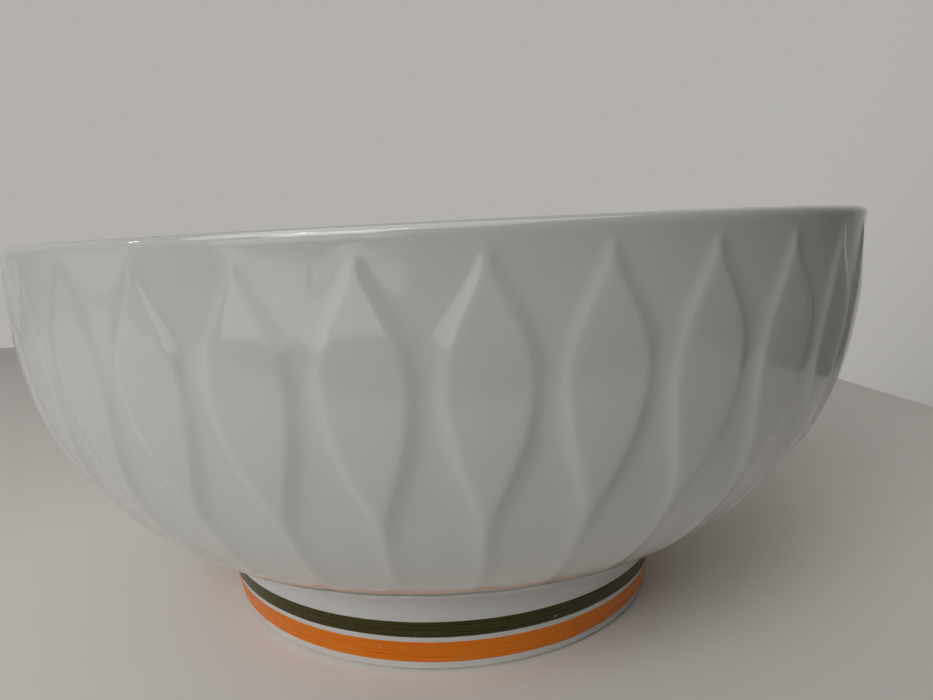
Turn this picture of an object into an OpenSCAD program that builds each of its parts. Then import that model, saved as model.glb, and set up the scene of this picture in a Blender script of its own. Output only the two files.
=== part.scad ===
// Round porcelain serving bowl on a foot ring, with a band of moulded leaves.
// Millimetres, +Z up. The origin is the centre of the bowl, on the table that it stands on.

/* [Bowl] */
// Outside diameter at the lip
rim_d = 240; // [230:1:250]
// Height from the table to the top of the lip
height = 112; // [110:1:116]
// Thickness of the wall and of the floor
wall_t = 3.8; // [3:0.1:4.4]
// Radius of the arc that turns the wall into the floor
belly_r = 80; // [76:1:82]
// Height of the upright part of the wall, under the lip
upright_h = 16; // [14:0.5:18]
// How far the lip stands out past the upright wall
lip_flare = 0.6; // [0.2:0.1:1]
// Height of the part of the wall that flares out to the lip
flare_h = 10; // [6:0.5:12]
// Radius of the lip's two rounded edges
lip_r = 1.5; // [1.2:0.1:1.5]

/* [Foot ring] */
// Outside diameter of the foot ring where it meets the table
foot_d = 134.6; // [126:0.2:138]
// How far the foot ring's outer face leans out per millimetre of height
foot_lean = 0.165; // [0.05:0.005:0.18]
// Thickness of the foot ring
foot_t = 4.2; // [3.5:0.1:5]
// Radius of the foot ring's lower edges
foot_edge_r = 1; // [0.4:0.1:1.4]
// Radius of the hollow where the foot ring meets the belly
foot_cove_r = 3.2; // [2:0.1:4]
// Height of the bare ground edge that the bowl stands on
land_h = 0.6; // [0.4:0.1:1]

/* [Painted bands] */
// Height of the lower edge of the orange band
orange_z = 3; // [2.6:0.1:4]
// Width of the orange band
orange_w = 6.2; // [4:0.1:6.6]
// Gap of plain white between the two bands
band_gap = 1.4; // [1:0.1:1.8]
// Width of the olive band
olive_w = 4.7; // [3:0.1:5]
// How far the fired colour stands proud of the foot ring
band_proud = 0.12; // [0.08:0.02:0.2]

/* [Leaves] */
// Number of leaves around the bowl
leaf_count = 36; // [30:1:36]
// Height of the leaf tips
leaf_tip_z = 107; // [104:0.5:108]
// Height at which a leaf is widest
leaf_wide_z = 85.5; // [80:0.5:90]
// Height at which a leaf has narrowed to its stem
leaf_neck_z = 54; // [50:0.5:58]
// Height at which the stems end, above the foot ring
stem_end_z = 25; // [24.5:0.5:32]
// Width of a leaf where it is widest
leaf_w = 15.7; // [13:0.1:17]
// Width of a stem
stem_w = 1.8; // [1.2:0.1:2.6]
// How far the leaves stand out from the wall
leaf_rise = 0.8; // [0.4:0.1:1]

/* [Hidden] */
$fn = 96;

// The wall: an arc about (arc_r0, arc_z0), then upright, then flared to the lip
rim_r = rim_d / 2;
wall_r = rim_r - lip_flare;
arc_r0 = wall_r - belly_r;
arc_z0 = height - upright_h;
lip_z = height - lip_r;
flare_z = lip_z - flare_h;

// The foot ring: its outer face is a cone, and its inner face is parallel to it
foot_r = foot_d / 2;
foot_top_z = belly_z(foot_r) + 4;
cove_r0 = foot_face_r(belly_z(foot_r)) + foot_cove_r;
cove_z0 = arc_z0 - sqrt(pow(belly_r + foot_cove_r, 2) - pow(cove_r0 - arc_r0, 2));
cove_touch = belly_r / (belly_r + foot_cove_r);

// How deep the foot ring, the leaves and the colours are bedded in the piece behind them
foot_bed = 0.6;
leaf_bed = 0.4;
band_bed = 0.4;

// The leaf's outline follows a power of a cosine, a little blunter above its widest point than below it
leaf_tip_power = 1.28;
leaf_neck_power = 1.45;
leaf_tip_steps = 8;
leaf_neck_steps = 9;
leaf_pitch = 360 / leaf_count;

white = [0.88, 0.88, 0.86];
leaf_white = [0.84, 0.85, 0.84];
bare_clay = [0.78, 0.75, 0.70];
orange = [0.85, 0.42, 0.06];
olive = [0.20, 0.19, 0.08];

LEAVES = [for (i = [1 : leaf_count]) leaf_name(i)];

// Leaf nodes are named leaf_01, leaf_02 and so on, counter-clockwise from -Y
function leaf_name(i) = str("leaf_", i < 10 ? "0" : "", i);

// Height of the belly's outer face at radius r
function belly_z(r) = arc_z0 - sqrt(pow(belly_r, 2) - pow(r - arc_r0, 2));

// Radius of the foot ring's outer face at height z
function foot_face_r(z) = foot_r + foot_lean * z;

// Half the width of a leaf at height z, never less than half a stem
function leaf_half_w(z) =
    let (above = z > leaf_wide_z,
         end_z = above ? leaf_tip_z : leaf_neck_z,
         u = min(1, abs((z - leaf_wide_z) / (end_z - leaf_wide_z))),
         half = leaf_w / 2 * pow(cos(90 * u), above ? leaf_tip_power : leaf_neck_power))
    above ? half : max(half, stem_w / 2);

// Half section of everything inside the belly's outer face, moved outwards by grow
module belly_section(grow) {
    intersection() {
        square([rim_r + leaf_rise, height]);
        union() {
            translate([arc_r0, arc_z0]) circle(r = belly_r + grow, $fn = 180);
            translate([0, arc_z0 - belly_r - grow]) square([arc_r0, height]);
            translate([0, arc_z0]) square([wall_r + grow, upright_h]);
        }
    }
}

// Half section of the upright wall above the belly, with its flare and its rounded lip
module lip_section() {
    inner_r = wall_r - wall_t;
    polygon([
        [inner_r, arc_z0],
        [wall_r, arc_z0],
        [wall_r, flare_z],
        [rim_r, lip_z],
        [rim_r - lip_r, height],
        [inner_r + lip_r, height],
        [inner_r, lip_z],
    ]);
    for (r = [rim_r - lip_r, inner_r + lip_r])
        translate([r, lip_z]) circle(r = lip_r);
}

module bowl_body() {
    color(white)
    rotate_extrude($fn = 180) {
        difference() {
            intersection() {
                belly_section(0);
                square([rim_r, arc_z0]);
            }
            belly_section(-wall_t);
        }
        lip_section();
    }
}

// Half section of the hollow curve between the foot ring's outer face and the belly
module foot_cove_section() {
    touch = [arc_r0 + (cove_r0 - arc_r0) * cove_touch, arc_z0 - (arc_z0 - cove_z0) * cove_touch];
    difference() {
        polygon([
            [foot_face_r(cove_z0) - foot_bed, cove_z0],
            [cove_r0, cove_z0],
            touch,
            [foot_face_r(foot_top_z) - foot_bed, foot_top_z],
        ]);
        translate([cove_r0, cove_z0]) circle(r = foot_cove_r);
    }
}

// Half section of the foot ring below the belly, with its two lower edges rounded
module foot_wall_section() {
    edge_z = land_h + foot_edge_r;
    outer_r = foot_face_r(edge_z);
    polygon([
        [outer_r - foot_t, edge_z],
        [outer_r - foot_t + foot_edge_r, land_h],
        [outer_r - foot_edge_r, land_h],
        [outer_r, edge_z],
        [foot_face_r(foot_top_z), foot_top_z],
        [foot_face_r(foot_top_z) - foot_t, foot_top_z],
    ]);
    for (r = [outer_r - foot_t + foot_edge_r, outer_r - foot_edge_r])
        translate([r, edge_z]) circle(r = foot_edge_r);
}

module foot_ring() {
    color(white)
    rotate_extrude($fn = 180)
        difference() {
            union() {
                foot_wall_section();
                foot_cove_section();
            }
            belly_section(-foot_bed);
        }
}

module foot_land() {
    outer_r = foot_face_r(land_h + foot_edge_r) - foot_edge_r;
    color(bare_clay)
    rotate_extrude($fn = 180)
        translate([outer_r - foot_t + 2 * foot_edge_r, 0])
            square([foot_t - 2 * foot_edge_r, land_h]);
}

// One ring of fired colour on the foot ring's outer face
module painted_band(low_z, width, paint) {
    high_z = low_z + width;
    color(paint)
    rotate_extrude($fn = 180)
        polygon([
            [foot_face_r(low_z) - band_bed, low_z],
            [foot_face_r(low_z) + band_proud, low_z],
            [foot_face_r(high_z) + band_proud, high_z],
            [foot_face_r(high_z) - band_bed, high_z],
        ]);
}

module orange_band() {
    painted_band(orange_z, orange_w, orange);
}

module olive_band() {
    painted_band(orange_z + orange_w + band_gap, olive_w, olive);
}

// Outline of a leaf and its stem, seen from the front
module leaf_outline() {
    tip_zs = [for (k = [0 : leaf_tip_steps]) leaf_tip_z + (leaf_wide_z - leaf_tip_z) * k / leaf_tip_steps];
    neck_zs = [for (k = [1 : leaf_neck_steps]) leaf_wide_z + (leaf_neck_z - leaf_wide_z) * k / leaf_neck_steps];
    zs = concat(tip_zs, neck_zs, [stem_end_z]);
    last = len(zs) - 1;
    polygon(concat(
        [for (k = [0 : last]) [leaf_half_w(zs[k]), zs[k]]],
        [for (k = [last : -1 : 1]) [-leaf_half_w(zs[k]), zs[k]]]
    ));
}

// The skin of the wall, from just inside its outer face to the front of the leaves
module leaf_skin() {
    rotate_extrude($fn = 180)
        difference() {
            belly_section(leaf_rise);
            belly_section(-leaf_bed);
        }
}

// Leaf i is the part of that skin inside the leaf's outline, turned to its place
module leaf(i) {
    color(leaf_white)
    rotate([0, 0, leaf_pitch * (i - 1)])
        intersection() {
            leaf_skin();
            rotate([90, 0, 0]) linear_extrude(height = rim_d) leaf_outline();
        }
}

bowl_body();
foot_ring();
foot_land();
orange_band();
olive_band();
for (i = [1 : leaf_count])
    leaf(i);
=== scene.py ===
"""A round porcelain serving bowl with moulded leaves, on a foot ring with two painted bands.

Lengths are in metres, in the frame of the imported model. Angles are in radians unless the name or the comment
says degrees.
"""
import math

import bmesh
import bpy
import numpy as np
from mathutils import Matrix, Vector, noise


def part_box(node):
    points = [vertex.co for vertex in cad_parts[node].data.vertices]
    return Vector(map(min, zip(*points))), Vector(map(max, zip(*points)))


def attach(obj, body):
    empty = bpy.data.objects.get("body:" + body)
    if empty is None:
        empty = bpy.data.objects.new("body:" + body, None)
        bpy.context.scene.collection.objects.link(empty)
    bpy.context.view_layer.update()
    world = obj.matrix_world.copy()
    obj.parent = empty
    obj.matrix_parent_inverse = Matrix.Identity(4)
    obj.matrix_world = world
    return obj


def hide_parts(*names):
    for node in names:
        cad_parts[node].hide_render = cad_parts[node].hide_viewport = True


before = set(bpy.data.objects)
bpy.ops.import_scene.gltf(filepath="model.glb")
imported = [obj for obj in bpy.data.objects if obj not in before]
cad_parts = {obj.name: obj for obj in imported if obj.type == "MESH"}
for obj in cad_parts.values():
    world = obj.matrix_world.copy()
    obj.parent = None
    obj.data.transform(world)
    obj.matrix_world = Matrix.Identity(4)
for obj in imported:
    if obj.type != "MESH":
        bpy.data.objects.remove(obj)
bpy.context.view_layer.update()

MM = 0.001
LEAF_NODES = sorted(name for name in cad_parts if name.startswith("leaf_"))
LEAF_COUNT = len(LEAF_NODES)

# ---------------------------------------------------------------------------
# Sizes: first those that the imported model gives, then the shape of the wall
# ---------------------------------------------------------------------------
body_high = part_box("bowl_body")[1]
leaf_low, leaf_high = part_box(LEAF_NODES[0])
land_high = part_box("foot_land")[1]

RIM_R = body_high[0]
HEIGHT = body_high[2]
LEAF_TIP_Z = leaf_high[2]
STEM_END_Z = leaf_low[2]
LEAF_HALF_W = (leaf_high[0] - leaf_low[0]) / 2
LAND_H = land_high[2]
LAND_OUTER_R = land_high[0]

WALL_T = 3.8 * MM
BELLY_R = 80 * MM
UPRIGHT_H = 16 * MM
LIP_FLARE = 0.6 * MM
FLARE_H = 9 * MM
LIP_EDGE_R = 1.5 * MM
LIP_CROWN = 0.15 * MM
INNER_LIP_DROP = 2.5 * MM
WALL_R = RIM_R - LIP_FLARE
ARC_R0 = WALL_R - BELLY_R
ARC_Z0 = HEIGHT - UPRIGHT_H
LIP_Z = HEIGHT - LIP_CROWN - LIP_EDGE_R
LIP_INNER_R = WALL_R - WALL_T
INNER_BELLY_R = BELLY_R - WALL_T
UNDER_Z = ARC_Z0 - BELLY_R
FLOOR_Z = ARC_Z0 - INNER_BELLY_R

# Leaves: half widths are measured at the steepest line of the flank
LEAF_WIDE_Z = 85.5 * MM
LEAF_NECK_Z = 54 * MM
LEAF_TIP_POWER = 1.28
LEAF_NECK_POWER = 1.45
TIP_HALF_W = 0.6 * MM
STEM_HALF_W = 1.0 * MM
SHOULDER_W = 1.5 * MM
FLANK_W = 4.0 * MM
TIP_FLANK_W = 2.5 * MM
LEAF_SLOPE = 0.33
TIP_SLOPE = 0.24
STEM_SLOPE = 0.17
GROOVE_SHARE = 0.25
GROOVE_DEPTH = 0.33 * MM

# Heights between which the slope changes from the stem's to the leaf's, and from the leaf's to the tip's
STEM_TO_LEAF_Z = (48 * MM, 66 * MM)
LEAF_TO_TIP_Z = (76 * MM, 94 * MM)
# Heights between which the relief fades into the plain wall: at the tips, and at the ends of the stems
TIP_FADE_Z = (LEAF_TIP_Z + 2.2 * MM, LEAF_TIP_Z - 1.5 * MM)
STEM_FADE_Z = (STEM_END_Z + 4 * MM, STEM_END_Z + 18 * MM)
GROOVE_END_Z = LEAF_TIP_Z + 3 * MM

# Foot ring
FOOT_LEAN = 0.165
FOOT_T = 4.2 * MM
FOOT_EDGE_R = 1.0 * MM
FOOT_COVE_R = 3.2 * MM
FOOT_BED = 1.2 * MM
LAND_CORNER = 0.25 * MM
LAND_BED = 0.05 * MM
LAND_WEAR = 0.06 * MM
BAND_PROUD = 0.12 * MM
BAND_BED = 0.2 * MM
BAND_EDGE_W = 0.35 * MM
BAND_WAVER = 0.09 * MM
BAND_WAVES_ROUND = 5
# Radii of the belly near which the foot ring's outer and inner faces meet it
FOOT_MEETS_R = RIM_R * 0.59
FOOT_INSIDE_R = RIM_R / 2

# Pools of glaze, which also paint light and shade into the colour: 1 where the most glaze has collected,
# darkened there as painted shade, and below 0 where it has run thin, lightened there as a painted highlight
LIP_THIN_GLAZE_AND_HIGHLIGHT = -0.7
FOOT_EDGE_THIN_GLAZE_AND_HIGHLIGHT = -0.6
COVE_POOL_AND_SHADE = 0.9
GROOVE_POOL_AND_SHADE_AT = 1.6 * MM
GROOVE_POOL_AND_SHADE_W = 1.3 * MM
SHOULDER_DRAIN_AND_HIGHLIGHT_W = 0.9 * MM

# Columns of the meshes round the bowl, drawn closer together across the flanks of the leaves
HALF_LEAF_COLUMNS = 10
COLUMNS = LEAF_COUNT * HALF_LEAF_COLUMNS * 2
FOOT_COLUMNS = COLUMNS // 2
COLUMN_PULL = 4.0
COLUMN_SPREAD = 1.6 * MM

# Rows of the meshes, and the last rings before a flat middle, each with half as many points as the one before
UPRIGHT_ROWS = 22
BELLY_ROWS = 76
INNER_UPRIGHT_ROWS = 6
INNER_BELLY_ROWS = 34
UNDER_RING_RADII = (54 * MM, 44 * MM, 30 * MM, 16 * MM)
FLOOR_RING_SHARES = (0.82, 0.6, 0.36)
LIP_ARC_POINTS = 7
FOOT_FACE_ROWS = 12
FOOT_EDGE_STEPS = 5
COVE_STEPS = 8
BAND_EDGE_POINTS = 4
BAND_FACE_ROWS = 5


def smoothstep(start, end, x):
    """0 at start, 1 at end, and smooth between them, whichever of the two is higher."""
    t = np.clip((x - start) / (end - start), 0.0, 1.0)
    return t * t * (3 - 2 * t)


# ---------------------------------------------------------------------------
# Meshes made of rings
# ---------------------------------------------------------------------------
class RingMesh:
    """A mesh made of rings of points, each joined to the one before it."""

    def __init__(self):
        self.points = []
        self.colour_shift = []
        self.faces = []
        self.last = None

    def add_ring(self, ring, colour_shift=None):
        """Adds a ring with as many points as the ring before it, or half as many. Returns its indices."""
        start = len(self.points)
        self.points.extend(ring)
        self.colour_shift.extend([0.0] * len(ring) if colour_shift is None else colour_shift)
        indices = list(range(start, len(self.points)))
        if self.last is not None:
            self.join(self.last, indices)
        self.last = indices
        return indices

    def join(self, a, b):
        """Joins ring a to ring b with quads, or with triangles where b has half as many points."""
        if len(a) == len(b):
            for i in range(len(a)):
                j = (i + 1) % len(a)
                self.faces.append((a[i], a[j], b[j], b[i]))
            return
        for i in range(len(b)):
            j = (i + 1) % len(b)
            left, middle, right = a[2 * i], a[2 * i + 1], a[(2 * i + 2) % len(a)]
            self.faces.append((left, middle, b[i]))
            self.faces.append((middle, b[j], b[i]))
            self.faces.append((middle, right, b[j]))

    def cap(self, centre):
        """Closes the last ring with a fan round one point."""
        self.points.append(centre)
        self.colour_shift.append(0.0)
        for i in range(len(self.last)):
            j = (i + 1) % len(self.last)
            self.faces.append((self.last[i], self.last[j], len(self.points) - 1))

    def build(self, name, material):
        mesh = bpy.data.meshes.new(name)
        mesh.from_pydata(self.points, [], self.faces)
        layer = mesh.attributes.new("tint_shift", "FLOAT", "POINT")
        layer.data.foreach_set("value", self.colour_shift)
        whole = bmesh.new()
        whole.from_mesh(mesh)
        bmesh.ops.recalc_face_normals(whole, faces=whole.faces)
        whole.to_mesh(mesh)
        whole.free()
        mesh.materials.append(material)
        mesh.shade_smooth()
        mesh.update()
        piece = bpy.data.objects.new(name, mesh)
        bpy.context.scene.collection.objects.link(piece)
        return piece


def halved(count):
    """How many points the next, smaller ring has: half as many, or as many where the number is odd."""
    return count if count % 2 else count // 2


def plain_ring(r, z, count, start=0.0):
    """A ring of evenly spaced points. The first one is at angle start from -Y."""
    angles = start + np.arange(count) * 2 * math.pi / count
    return [(r * math.sin(t), -r * math.cos(t), z) for t in angles]


def revolve(name, profile, material, colour_shift=None, shift=None):
    """A closed ring-shaped piece from a closed loop of (r, z) points. shift(angle, r, z) moves a point."""
    mesh = RingMesh()
    angles = np.arange(FOOT_COLUMNS) * 2 * math.pi / FOOT_COLUMNS
    first = None
    for k, (r, z) in enumerate(profile):
        ring = []
        for t in angles:
            rr, zz = shift(t, r, z) if shift else (r, z)
            ring.append((rr * math.sin(t), -rr * math.cos(t), zz))
        indices = mesh.add_ring(ring, [colour_shift[k]] * len(ring) if colour_shift else None)
        first = first or indices
    mesh.join(mesh.last, first)
    return mesh.build(name, material)


# ---------------------------------------------------------------------------
# Leaves in relief
# ---------------------------------------------------------------------------
def leaf_half_width(z):
    """Half the width of a leaf at height z, and of its stem below it."""
    above = z > LEAF_WIDE_Z
    end_z = LEAF_TIP_Z if above else LEAF_NECK_Z
    power = LEAF_TIP_POWER if above else LEAF_NECK_POWER
    least = TIP_HALF_W if above else STEM_HALF_W
    u = min(1.0, abs((z - LEAF_WIDE_Z) / (end_z - LEAF_WIDE_Z)))
    return math.hypot(LEAF_HALF_W * math.cos(math.pi / 2 * u) ** power, least)


def leaf_slope(z):
    """Steepest slope of the relief at height z."""
    slope = STEM_SLOPE + (LEAF_SLOPE - STEM_SLOPE) * smoothstep(*STEM_TO_LEAF_Z, z)
    slope -= (LEAF_SLOPE - TIP_SLOPE) * smoothstep(*LEAF_TO_TIP_Z, z)
    return float(slope * smoothstep(*TIP_FADE_Z, z) * smoothstep(*STEM_FADE_Z, z))


def flank_rise(d, inner, outer):
    """Height of a flank of slope 1 at distance d outside its steepest line.

    The slope falls evenly to nothing over inner on the leaf's side and over outer on the groove's side.
    """
    outside = np.clip(outer - d, 0, outer) ** 2 / (2 * outer)
    inside = (outer + inner) / 2 - np.clip(inner + d, 0, inner) ** 2 / (2 * inner)
    return np.where(d >= 0, outside, inside)


def relief(x, z, half_pitch):
    """Height of the relief at distances x round from a leaf's middle, at height z.

    The grooves between the leaves run out into the plain wall, so that the leaves' tips stand up out of it.
    """
    half_w = leaf_half_width(z)
    gap = half_pitch - half_w
    inner = min(SHOULDER_W, half_w)
    d = np.abs(x) - half_w
    grooved = float(1 - smoothstep(LEAF_WIDE_Z, GROOVE_END_Z, z))
    share = GROOVE_SHARE * grooved
    outer = min(TIP_FLANK_W + (FLANK_W - TIP_FLANK_W) * grooved, gap)
    rise = (1 - share) * flank_rise(d, inner, outer) + share * flank_rise(d, inner, gap)
    slope = leaf_slope(z)
    return slope * rise - GROOVE_DEPTH * grooved * slope / LEAF_SLOPE


def pooling_and_painted_light(x, z):
    """How much glaze has collected, which also paints shade and highlight: up to 1 in the groove beside a
    leaf, darkened as painted shade, down to -1 on the leaf's shoulder, lightened as a painted highlight.
    """
    d = np.abs(x) - leaf_half_width(z)
    darkening = np.exp(-(((d - GROOVE_POOL_AND_SHADE_AT) / GROOVE_POOL_AND_SHADE_W) ** 2))
    lightening = np.exp(-(((d + SHOULDER_DRAIN_AND_HIGHLIGHT_W) / SHOULDER_DRAIN_AND_HIGHLIGHT_W) ** 2))
    return (darkening - lightening) * leaf_slope(z) / LEAF_SLOPE


def column_offsets(z, half_pitch):
    """Distances of the mesh's columns round from a leaf's middle, closer together across the flank."""
    fine_steps = 400
    fine = np.linspace(0, half_pitch, fine_steps)
    pull = COLUMN_PULL * leaf_slope(z) / LEAF_SLOPE
    density = 1 + pull * np.exp(-(((fine - leaf_half_width(z)) / COLUMN_SPREAD) ** 2) / 2)
    total = np.concatenate([[0], np.cumsum((density[1:] + density[:-1]) / 2)])
    return np.interp(np.linspace(0, total[-1], HALF_LEAF_COLUMNS + 1), total, fine)


# ---------------------------------------------------------------------------
# Bowl wall
# ---------------------------------------------------------------------------
def belly_point(angle, radius):
    """Radius and height of a point on the belly's arc, at an angle up from straight down."""
    return ARC_R0 + radius * math.sin(angle), ARC_Z0 - radius * math.cos(angle)


def belly_z(r):
    """Height of the belly's outer face at radius r."""
    return ARC_Z0 - math.sqrt(BELLY_R ** 2 - (r - ARC_R0) ** 2)


def outside_profile():
    """(r, z, outward normal) down the outside of the wall, from under the lip to inside the foot ring."""
    for k in range(1, UPRIGHT_ROWS + 1):
        z = LIP_Z + (ARC_Z0 - LIP_Z) * k / UPRIGHT_ROWS
        flare = max(0.0, (z - (LIP_Z - FLARE_H)) / FLARE_H)
        yield WALL_R + LIP_FLARE * flare ** 2, z, (1.0, 0.0)
    end = math.asin((foot_face_r(belly_z(FOOT_INSIDE_R)) - FOOT_T - ARC_R0) / BELLY_R)
    for k in range(1, BELLY_ROWS + 1):
        a = math.pi / 2 + (end - math.pi / 2) * k / BELLY_ROWS
        r, z = belly_point(a, BELLY_R)
        yield r, z, (math.sin(a), -math.cos(a))


def leafy_ring(r, z, normal):
    """A ring of points on the outside of the wall, raised by the leaves, and how much glaze is at each, which
    also sets painted shade in the grooves and a painted highlight on the shoulders.
    """
    half_pitch = math.pi * r / LEAF_COUNT
    x = column_offsets(z, half_pitch)
    h = relief(x, z, half_pitch)
    x = np.concatenate([-x[:0:-1], x[:-1]])
    h = np.concatenate([h[:0:-1], h[:-1]])
    ring = []
    for leaf in range(LEAF_COUNT):
        middle = leaf * 2 * math.pi / LEAF_COUNT
        for offset, height in zip(x, h):
            t = middle + offset / r
            rr = r + normal[0] * height
            ring.append((rr * math.sin(t), -rr * math.cos(t), z + normal[1] * height))
    return ring, list(pooling_and_painted_light(x, z)) * LEAF_COUNT


def lip_profile():
    """(r, z) over the lip, from its outer side to its inner side: two rounded edges and a slight crown."""
    for a in np.linspace(0, math.pi / 2, LIP_ARC_POINTS):
        yield RIM_R - LIP_EDGE_R * (1 - math.cos(a)), LIP_Z + LIP_EDGE_R * math.sin(a)
    yield (RIM_R + LIP_INNER_R) / 2, HEIGHT
    for a in np.linspace(math.pi / 2, 0, LIP_ARC_POINTS):
        yield LIP_INNER_R + LIP_EDGE_R * (1 - math.cos(a)), LIP_Z + LIP_EDGE_R * math.sin(a)


def make_bowl_wall(material):
    """Floor, belly, wall, lip and leaves, as one glazed skin."""
    mesh = RingMesh()
    lip = list(lip_profile())
    crown = len(lip) // 2
    first_column = -math.pi / LEAF_COUNT + 2 * math.pi / COLUMNS
    # The lip is lightened for its thin glaze and as a painted highlight
    on_lip = [LIP_THIN_GLAZE_AND_HIGHLIGHT] * COLUMNS
    top = mesh.add_ring(plain_ring(*lip[crown], COLUMNS, first_column), on_lip)
    for r, z in reversed(lip[:crown]):
        mesh.add_ring(plain_ring(r, z, COLUMNS, first_column), on_lip)
    for r, z, normal in outside_profile():
        mesh.add_ring(*leafy_ring(r, z, normal))
    count = COLUMNS
    for r in UNDER_RING_RADII:
        count = halved(count)
        z = belly_z(r) if r > ARC_R0 else UNDER_Z
        mesh.add_ring(plain_ring(r, z, count))
    mesh.cap((0.0, 0.0, UNDER_Z))

    mesh.last = top
    for r, z in lip[crown + 1:]:
        mesh.add_ring(plain_ring(r, z, COLUMNS, first_column), on_lip)
    count = halved(COLUMNS)
    for z in np.linspace(LIP_Z - INNER_LIP_DROP, ARC_Z0, INNER_UPRIGHT_ROWS):
        mesh.add_ring(plain_ring(LIP_INNER_R, z, count))
    for k in range(1, INNER_BELLY_ROWS + 1):
        r, z = belly_point(math.pi / 2 * (1 - k / INNER_BELLY_ROWS), INNER_BELLY_R)
        mesh.add_ring(plain_ring(r, z, count))
    for share in FLOOR_RING_SHARES:
        count = halved(count)
        mesh.add_ring(plain_ring(ARC_R0 * share, FLOOR_Z, count))
    mesh.cap((0.0, 0.0, FLOOR_Z))
    piece = mesh.build("bowl_wall", material)
    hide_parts("bowl_body", *LEAF_NODES)
    return piece


# ---------------------------------------------------------------------------
# Foot ring, bare edge and painted bands
# ---------------------------------------------------------------------------
def foot_face_r(z):
    """Radius of the foot ring's outer face at height z."""
    edge_z = LAND_H + FOOT_EDGE_R
    return LAND_OUTER_R + FOOT_EDGE_R + FOOT_LEAN * (z - edge_z)


def arc_points(centre, radius, start_degrees, end_degrees, steps):
    """Points along an arc in the half section. Its angles are measured up from the outward direction."""
    for k in range(steps + 1):
        a = math.radians(start_degrees + (end_degrees - start_degrees) * k / steps)
        yield centre[0] + radius * math.cos(a), centre[1] + radius * math.sin(a)


def make_foot_ring(material):
    """The glazed foot ring, with rounded lower edges and a small hollow under the belly."""
    edge_z = LAND_H + FOOT_EDGE_R
    outer_r = foot_face_r(edge_z)
    outer_edge = list(arc_points((outer_r - FOOT_EDGE_R, edge_z), FOOT_EDGE_R, -90, 0, FOOT_EDGE_STEPS))
    cove_r0 = foot_face_r(belly_z(FOOT_MEETS_R)) + FOOT_COVE_R
    cove_z0 = ARC_Z0 - math.sqrt((BELLY_R + FOOT_COVE_R) ** 2 - (cove_r0 - ARC_R0) ** 2)
    belly_turn = math.degrees(math.atan2(ARC_Z0 - cove_z0, ARC_R0 - cove_r0))
    lowest_share, highest_share = 0.12, 0.94
    face_heights = edge_z + (cove_z0 - edge_z) * np.linspace(lowest_share, highest_share, FOOT_FACE_ROWS)
    face = [(foot_face_r(z), z) for z in face_heights]
    cove = list(arc_points((cove_r0, cove_z0), FOOT_COVE_R, 180, belly_turn, COVE_STEPS))
    buried_z = belly_z(outer_r) + FOOT_BED
    inner_r = outer_r - FOOT_T
    # The top is out of sight inside the wall, and the inner face leans outwards up to it
    lean = 1 * MM
    bend_z = 10 * MM
    inner_top_z = belly_z(inner_r) - 0.2 * MM
    top = [(outer_r + 2 * lean, buried_z + lean), (inner_r + 3 * lean, buried_z)]
    inner_face = [(inner_r + 2 * lean, inner_top_z), (inner_r + lean, bend_z)]
    inner_edge = list(arc_points((inner_r + FOOT_EDGE_R, edge_z), FOOT_EDGE_R, 180, 270, FOOT_EDGE_STEPS))
    # The rounded edges are lightened for thin glaze and as a painted highlight, and the cove under the belly
    # is darkened for collected glaze and as painted shade
    stretches = [
        (outer_edge, FOOT_EDGE_THIN_GLAZE_AND_HIGHLIGHT),
        (face, 0.0),
        (cove, COVE_POOL_AND_SHADE),
        (top + inner_face, 0.0),
        (inner_edge, FOOT_EDGE_THIN_GLAZE_AND_HIGHLIGHT),
    ]
    profile = [point for points, _ in stretches for point in points]
    colour_shift = [darkening for points, darkening in stretches for _ in points]
    piece = revolve("foot_ring_glazed", profile, material, colour_shift)
    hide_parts("foot_ring")
    return piece


def make_foot_land(material):
    """The bare edge that the bowl stands on, worn a little uneven at its corners."""
    inner_r = LAND_OUTER_R - FOOT_T + 2 * FOOT_EDGE_R
    corner = LAND_CORNER
    bevel = 0.3 * corner
    top = LAND_H + LAND_BED
    chips_round, chips_across = 40, 900

    def worn(t, r, z):
        if z > corner:
            return r, z
        place = Vector((math.cos(t) * chips_round, math.sin(t) * chips_round, r * chips_across))
        return r + LAND_WEAR * noise.noise(place), z

    profile = [
        (LAND_OUTER_R, top),
        (LAND_OUTER_R, corner),
        (LAND_OUTER_R - bevel, bevel),
        (LAND_OUTER_R - corner, 0.0),
        (inner_r + corner, 0.0),
        (inner_r + bevel, bevel),
        (inner_r, corner),
        (inner_r, top),
    ]
    piece = revolve("foot_bare_edge", profile, material, shift=worn)
    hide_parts("foot_land")
    return piece


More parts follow.
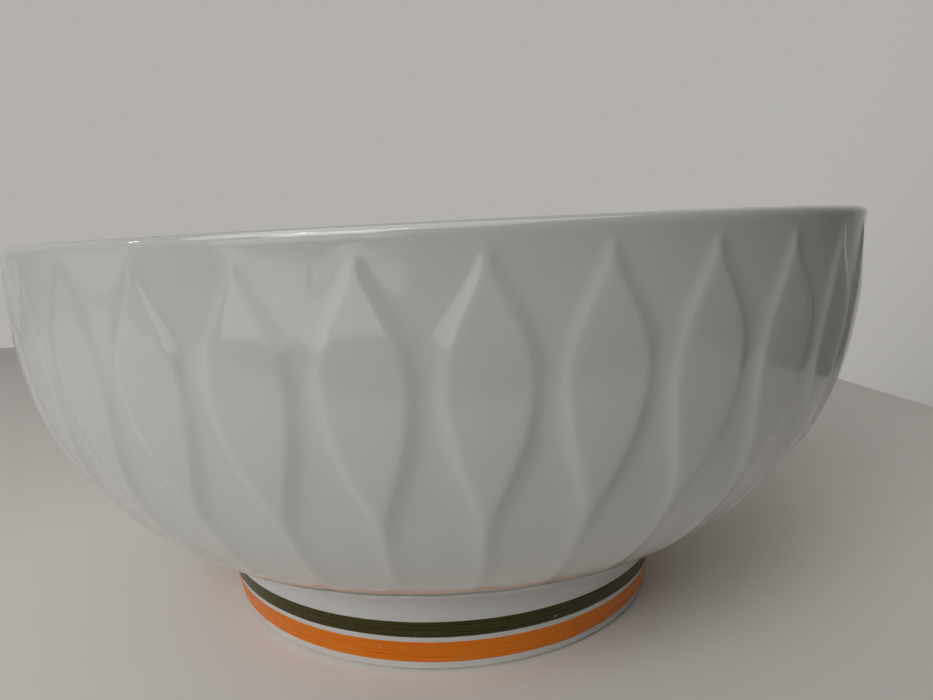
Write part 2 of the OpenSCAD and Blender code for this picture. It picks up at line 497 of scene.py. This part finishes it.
def make_band(name, node, material):
    """A ring of fired colour: thin, round at its two edges, and lined by hand so that the edges waver."""
    low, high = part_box(node)
    low_z, high_z = low[2], high[2]
    middle_z = (low_z + high_z) / 2

    def hand_lined(t, r, z):
        side = 1 if z > middle_z else -1
        # Each edge of each band takes its waves from another layer of the noise
        layer = side * 3 + low_z * 500
        waver = noise.noise(Vector((math.cos(t) * BAND_WAVES_ROUND, math.sin(t) * BAND_WAVES_ROUND, layer)))
        edge = abs(z - middle_z) / (high_z - middle_z)
        return r, z + BAND_WAVER * (waver - 0.5) * side * edge

    profile = [(foot_face_r(low_z) - BAND_BED, low_z)]
    for a in np.linspace(0, math.pi / 2, BAND_EDGE_POINTS):
        z = low_z + BAND_EDGE_W * (1 - math.cos(a))
        profile.append((foot_face_r(z) + BAND_PROUD * math.sin(a), z))
    for z in np.linspace(low_z + 2 * BAND_EDGE_W, high_z - 2 * BAND_EDGE_W, BAND_FACE_ROWS):
        profile.append((foot_face_r(z) + BAND_PROUD, z))
    for a in np.linspace(math.pi / 2, 0, BAND_EDGE_POINTS):
        z = high_z - BAND_EDGE_W * (1 - math.cos(a))
        profile.append((foot_face_r(z) + BAND_PROUD * math.sin(a), z))
    profile.append((foot_face_r(high_z) - BAND_BED, high_z))
    thin_edge = [1] * 3
    colour_shift = thin_edge + [0] * (len(profile) - 2 * len(thin_edge)) + thin_edge
    piece = revolve(name, profile, material, colour_shift, hand_lined)
    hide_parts(node)
    return piece


# ---------------------------------------------------------------------------
# Materials
# ---------------------------------------------------------------------------
# Sockets of a Mix node that mixes colours
MIX_A, MIX_B, MIX_RESULT = 6, 7, 2


class Shader:
    """A Principled material, with short calls to add nodes to it."""

    def __init__(self, name, **sockets):
        self.material = bpy.data.materials.new(name)
        self.material.use_nodes = True
        self.nodes = self.material.node_tree.nodes
        self.links = self.material.node_tree.links
        self.principled = self.nodes["Principled BSDF"]
        for socket, value in sockets.items():
            self.principled.inputs[socket.replace("_", " ")].default_value = value
        place = self.nodes.new("ShaderNodeTexCoord")
        self.place = place.outputs["Object"]

    def add(self, kind, inputs=None, **properties):
        node = self.nodes.new(kind)
        for key, value in properties.items():
            setattr(node, key, value)
        for key, value in (inputs or {}).items():
            self.feed(node.inputs[key], value)
        return node

    def feed(self, socket, value):
        if isinstance(value, bpy.types.NodeSocket):
            self.links.new(value, socket)
        else:
            socket.default_value = value

    def noise(self, scale, detail, place=None):
        inputs = {"Vector": place or self.place, "Scale": scale, "Detail": detail}
        return self.add("ShaderNodeTexNoise", inputs).outputs["Fac"]

    def ramp(self, value, low, high, to_low=0.0, to_high=1.0):
        """value, stretched so that low becomes to_low and high becomes to_high, and kept between them."""
        inputs = {"Value": value, "From Min": low, "From Max": high, "To Min": to_low, "To Max": to_high}
        return self.add("ShaderNodeMapRange", inputs).outputs["Result"]

    def mix(self, share, a, b):
        node = self.add("ShaderNodeMix", data_type="RGBA")
        self.feed(node.inputs["Factor"], share)
        self.feed(node.inputs[MIX_A], a)
        self.feed(node.inputs[MIX_B], b)
        return node.outputs[MIX_RESULT]

    def maths(self, operation, a, b):
        return self.add("ShaderNodeMath", {0: a, 1: b}, operation=operation).outputs["Value"]

    def attribute(self, name):
        return self.add("ShaderNodeAttribute", attribute_name=name).outputs["Fac"]

    def stretched(self, x, y, z):
        return self.add("ShaderNodeMapping", {"Vector": self.place, "Scale": (x, y, z)}).outputs["Vector"]

    def bump(self, height, distance, under=None):
        inputs = {"Height": height, "Distance": distance, "Strength": 1.0}
        if under is not None:
            inputs["Normal"] = under
        return self.add("ShaderNodeBump", inputs).outputs["Normal"]

    def finish(self, colour=None, roughness=None, normal=None):
        if colour is not None:
            self.links.new(colour, self.principled.inputs["Base Color"])
        if roughness is not None:
            self.links.new(roughness, self.principled.inputs["Roughness"])
        if normal is not None:
            self.links.new(normal, self.principled.inputs["Normal"])
        return self.material


def specks(shader, cell, radius, share):
    """1 in tiny round spots, and 0 elsewhere. Space is cut into cells, and a share of them holds a spot."""
    voronoi = shader.add("ShaderNodeTexVoronoi", {"Vector": shader.place, "Scale": 1 / cell})
    full_share = 0.6
    near = shader.ramp(voronoi.outputs["Distance"], radius / cell, full_share * radius / cell)
    pick = shader.add("ShaderNodeSeparateColor", {"Color": voronoi.outputs["Color"]}).outputs["Red"]
    return shader.maths("MULTIPLY", near, shader.maths("LESS_THAN", pick, share))


def white_glaze():
    """Clear gloss glaze over cool white porcelain, with the faint waviness and specks that glaze has, and
    darker and lighter glaze that also paints shade into hollows and highlights onto edges.
    """
    s = Shader("white_glaze", IOR=1.52, Subsurface_Weight=0.12, Subsurface_Scale=0.002)
    s.principled.inputs["Subsurface Radius"].default_value = (1.0, 0.9, 0.75)
    white, cooler_white = (0.66, 0.665, 0.65, 1), (0.635, 0.64, 0.625, 1)
    # Colours where glaze collects and where it runs thin, which also serve as painted shade and painted
    # highlight
    pooled_glaze_and_shade, thin_glaze_and_highlight = (0.57, 0.565, 0.545, 1), (0.71, 0.70, 0.67, 1)
    iron_brown = (0.16, 0.12, 0.08, 1)
    cloudy = s.noise(scale=22, detail=3)
    body = s.mix(s.ramp(cloudy, 0.3, 0.7), white, cooler_white)
    # Darker in the grooves and the foot's cove as painted shade, and lighter on the leaves' shoulders, the lip
    # and the foot's edges as a painted highlight
    colour_shift = s.attribute("tint_shift")
    body = s.mix(s.ramp(colour_shift, 0.0, 1.0, to_high=0.25), body, pooled_glaze_and_shade)
    body = s.mix(s.ramp(colour_shift, 0.0, -1.0, to_high=0.35), body, thin_glaze_and_highlight)
    iron_specks = specks(s, cell=14 * MM, radius=0.22 * MM, share=0.10)
    body = s.mix(s.maths("MULTIPLY", iron_specks, 0.7), body, iron_brown)
    waves = s.bump(s.noise(scale=45, detail=1), 0.06 * MM)
    peel = s.bump(s.noise(scale=420, detail=2), 0.004 * MM, waves)
    pinholes = s.bump(specks(s, cell=9 * MM, radius=0.2 * MM, share=0.08), -0.03 * MM, peel)
    roughness = s.ramp(s.noise(scale=70, detail=4), 0.3, 0.75, 0.045, 0.11)
    return s.finish(body, roughness, pinholes)


def bare_porcelain():
    """Unglazed, ground porcelain: matt and grainy, greyed where it rubs on the table."""
    s = Shader("bare_porcelain", IOR=1.5)
    dark_clay, pale_clay, rubbed_grey = (0.62, 0.58, 0.51, 1), (0.74, 0.71, 0.65, 1), (0.40, 0.37, 0.32, 1)
    grain = s.noise(scale=2600, detail=3)
    body = s.mix(grain, dark_clay, pale_clay)
    rubbed = s.ramp(s.noise(scale=160, detail=4), 0.48, 0.72, to_high=0.6)
    body = s.mix(rubbed, body, rubbed_grey)
    return s.finish(body, s.ramp(grain, 0.3, 0.7, 0.75, 0.95), s.bump(grain, 0.05 * MM))


def fired_enamel(name, deep, thin):
    """Glossy fired colour, streaked along the band as a brush on a turning wheel leaves it."""
    s = Shader(name, IOR=1.45, Specular_IOR_Level=0.3)
    bare_white = (0.60, 0.56, 0.50, 1)
    streaks = s.noise(scale=55, detail=3, place=s.stretched(1, 1, 40))
    patches = s.noise(scale=30, detail=3)
    body = s.mix(s.ramp(streaks, 0.3, 0.72), deep, thin)
    body = s.mix(s.ramp(patches, 0.5, 0.85, to_high=0.45), body, thin)
    edge = s.attribute("tint_shift")
    thinning = s.ramp(s.noise(scale=500, detail=2), 0.3, 0.7, 0.1, 0.5)
    body = s.mix(s.maths("MULTIPLY", edge, thinning), body, thin)
    worn = s.ramp(s.noise(scale=900, detail=4), 0.70, 0.76, to_high=0.5)
    body = s.mix(worn, body, bare_white)
    fine = s.bump(s.noise(scale=600, detail=3), 0.012 * MM)
    roughness = s.ramp(streaks, 0.3, 0.7, 0.22, 0.38)
    return s.finish(body, roughness, s.bump(streaks, 0.01 * MM, fine))


# ---------------------------------------------------------------------------
# The bowl
# ---------------------------------------------------------------------------
glaze = white_glaze()
bare = bare_porcelain()
orange = fired_enamel("orange_enamel", (0.72, 0.155, 0.0, 1), (0.80, 0.215, 0.003, 1))
olive = fired_enamel("olive_enamel", (0.030, 0.025, 0.001, 1), (0.055, 0.048, 0.006, 1))

PIECES = [
    (make_bowl_wall(glaze), "white_glaze"),
    (make_foot_ring(glaze), "white_glaze"),
    (make_foot_land(bare), "bare_porcelain"),
    (make_band("orange_line", "orange_band", orange), "orange_enamel"),
    (make_band("olive_line", "olive_band", olive), "olive_enamel"),
]
for piece, slot in PIECES:
    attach(piece, "root")


# ---------------------------------------------------------------------------
# Stage, light and camera
# ---------------------------------------------------------------------------
def make_floor():
    """A plain pale table top, with its right-hand edge in view."""
    s = Shader("pale_floor", Roughness=0.85)
    tone = s.mix(s.noise(scale=8, detail=2), (0.85, 0.815, 0.765, 1), (0.89, 0.855, 0.805, 1))
    s.finish(tone)
    left, right, front, back = -1.6, 0.295, -0.26, 0.65
    corners = [(left, front, 0), (right, front, 0), (right, back, 0), (left, back, 0)]
    mesh = bpy.data.meshes.new("floor")
    mesh.from_pydata(corners, [], [(0, 1, 2, 3)])
    mesh.materials.append(s.material)
    floor = bpy.data.objects.new("floor", mesh)
    bpy.context.scene.collection.objects.link(floor)


def direction(azimuth_degrees, elevation_degrees):
    """A unit vector away from the bowl. Azimuth 0 is in front, and 90 is on the right."""
    a, e = math.radians(azimuth_degrees), math.radians(elevation_degrees)
    return Vector((math.sin(a) * math.cos(e), -math.cos(a) * math.cos(e), math.sin(e)))


# The room's colours, the direction of its bright patch, and the angles from there where the patch starts to
# fade and where it ends, in degrees
ROOM_DIM = (0.055, 0.054, 0.051, 1)
ROOM_BRIGHT = (0.45, 0.436, 0.412, 1)
PATCH_DIRECTION = direction(180, 18)
PATCH_FADE_DEGREES = 35
PATCH_END_DEGREES = 75


def make_world():
    """The room: dim all round, with a bright, soft-edged round patch behind the bowl."""
    world = bpy.data.worlds.new("room")
    bpy.context.scene.world = world
    world.use_nodes = True
    nodes, links = world.node_tree.nodes, world.node_tree.links
    place = nodes.new("ShaderNodeTexCoord").outputs["Generated"]
    toward = nodes.new("ShaderNodeVectorMath")
    toward.operation = "DOT_PRODUCT"
    toward.inputs[1].default_value = PATCH_DIRECTION
    links.new(place, toward.inputs[0])
    level = nodes.new("ShaderNodeMapRange")
    level.interpolation_type = "SMOOTHSTEP"
    level.inputs["From Min"].default_value = math.cos(math.radians(PATCH_END_DEGREES))
    level.inputs["From Max"].default_value = math.cos(math.radians(PATCH_FADE_DEGREES))
    links.new(toward.outputs["Value"], level.inputs["Value"])
    tint = nodes.new("ShaderNodeMix")
    tint.data_type = "RGBA"
    tint.inputs[MIX_A].default_value = ROOM_DIM
    tint.inputs[MIX_B].default_value = ROOM_BRIGHT
    links.new(level.outputs["Result"], tint.inputs["Factor"])
    links.new(tint.outputs[MIX_RESULT], nodes["Background"].inputs["Color"])


def area_light(name, azimuth, elevation, distance, size, power, lights=True, mirrors=True):
    """A soft light aimed at the bowl, at a direction in degrees. Its size is its width and height.

    lights tells whether it lights surfaces up, and mirrors whether the glaze shows its reflection.
    """
    light = bpy.data.lights.new(name, "AREA")
    light.shape = "RECTANGLE"
    light.size, light.size_y = size
    light.energy = power
    lamp = bpy.data.objects.new(name, light)
    bpy.context.scene.collection.objects.link(lamp)
    away = direction(azimuth, elevation)
    lamp.location = Vector((0, 0, HEIGHT / 2)) + away * distance
    lamp.rotation_euler = away.to_track_quat("Z", "Y").to_euler()
    lamp.visible_diffuse = lights
    lamp.visible_glossy = mirrors


def make_camera():
    """A camera close in front of the bowl, level with its lip, tipped down and turned a little."""
    around = math.radians(-4.3)
    distance = 229.7 * MM
    height = 109.7 * MM
    heading = around + math.radians(1.09)
    pitch = math.radians(10.0)
    roll = math.radians(2.81)
    data = bpy.data.cameras.new("camera")
    data.lens = 27.0
    data.sensor_width = 36.0
    data.shift_x = 0.050
    data.shift_y = 0.011
    data.clip_start = 0.005
    camera = bpy.data.objects.new("camera", data)
    bpy.context.scene.collection.objects.link(camera)
    turn = Matrix.Rotation(heading, 4, "Z") @ Matrix.Rotation(math.pi / 2 - pitch, 4, "X")
    place = Matrix.Translation((distance * math.sin(around), -distance * math.cos(around), height))
    camera.matrix_world = place @ turn @ Matrix.Rotation(-roll, 4, "Z")
    bpy.context.scene.camera = camera


make_camera()
make_floor()
make_world()
area_light("key", -30, 38, 1.2, (0.5, 0.5), 3.9)
area_light("left", -46, 12, 1.2, (0.5, 0.4), 2.0, mirrors=False)
area_light("far_left", -75, 8, 1.2, (0.5, 0.5), 1.2, mirrors=False)
area_light("top", -5, 70, 1.2, (0.5, 0.5), 0.4, mirrors=False)
area_light("window", -42, 6, 1.2, (0.45, 0.6), 1.0, lights=False)
area_light("window_edge", -20, 6, 1.2, (0.45, 0.6), 0.9, lights=False)
area_light("overhead", -30, 75, 0.9, (1.2, 1.2), 10, lights=False)
area_light("strip", -38, 56, 1.2, (0.9, 0.10), 2.5, lights=False)
area_light("glint", -48, 56, 1.2, (0.10, 0.04), 0.9, lights=False)
area_light("left_glint", -91, 39, 1.2, (0.06, 0.04), 0.7, lights=False)
bpy.context.scene.view_settings.view_transform = "Standard"
